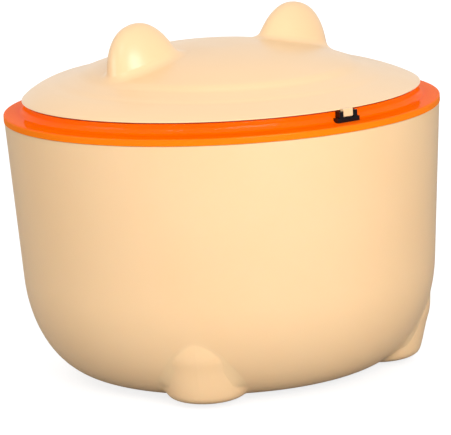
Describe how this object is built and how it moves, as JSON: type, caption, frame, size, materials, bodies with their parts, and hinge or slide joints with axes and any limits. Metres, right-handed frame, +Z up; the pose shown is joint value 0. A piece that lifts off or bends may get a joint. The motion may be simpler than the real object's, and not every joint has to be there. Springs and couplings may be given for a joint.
{
  "type": "litter disposal pail",
  "caption": "Round litter disposal pail on moulded feet, with a bag collar, a press latch and a hinged, cat-eared lid that carries a deodoriser.",
  "frame": {"origin": "middle of the floor under the three feet, below the centre of the round tub", "axes": "+Z up, -Y to the front where the latch is, +Y to the hinge, ears to either side along X"},
  "size_m": [0.3, 0.3, 0.2463],
  "materials": {
    "cream_plastic": "satin moulded",
    "liner_plastic": "satin moulded",
    "orange_plastic": "glossy, translucent",
    "black_plastic": "glossy moulded",
    "steel": "zinc plated",
    "seal_rubber": "soft silicone",
    "pad_rubber": "matt",
    "carbon_felt": "charcoal felt"
  },
  "bodies": {
    "tub": {"tub": "cream_plastic", "foot_pad_left": "pad_rubber", "foot_pad_right": "pad_rubber", "foot_pad_rear": "pad_rubber"},
    "collar": {"bag_collar": "orange_plastic", "rim_gasket": "seal_rubber", "latch_housing": "black_plastic", "latch_spring": "steel", "latch_screws": "steel", "hinge_bracket": "black_plastic", "hinge_screws": "steel", "hinge_pin": "steel", "hinge_pin_clips": "steel", "hinge_spring": "steel"},
    "lid": {"lid_shell": "cream_plastic", "lid_liner": "liner_plastic", "lid_seal": "seal_rubber", "liner_screws": "steel", "filter_cartridge": "carbon_felt"},
    "plunger": {"latch_plunger": "black_plastic"},
    "cap": {"filter_cap": "orange_plastic"}
  },
  "joints": [
    {"name": "collar_lift", "type": "slide", "parent": "tub", "child": "collar", "axis": [0, 0, 1], "range_m": [0, 0.12]},
    {"name": "lid_hinge", "type": "hinge", "parent": "collar", "child": "lid", "pos_m": [0, 0.1418, 0.191], "axis": [-1, 0, 0], "range_deg": [0, 100]},
    {"name": "latch_press", "type": "slide", "parent": "collar", "child": "plunger", "axis": [0, 0, -1], "range_m": [0, 0.0015], "stiffness_N_per_m": 400, "springref_m": -0.001, "deforming": ["latch_spring"]},
    {"name": "filter_cap_twist", "type": "hinge", "parent": "lid", "child": "cap", "pos_m": [0, 0, 0.1925], "axis": [0, 0, 1], "range_deg": [0, 60]}
  ]
}
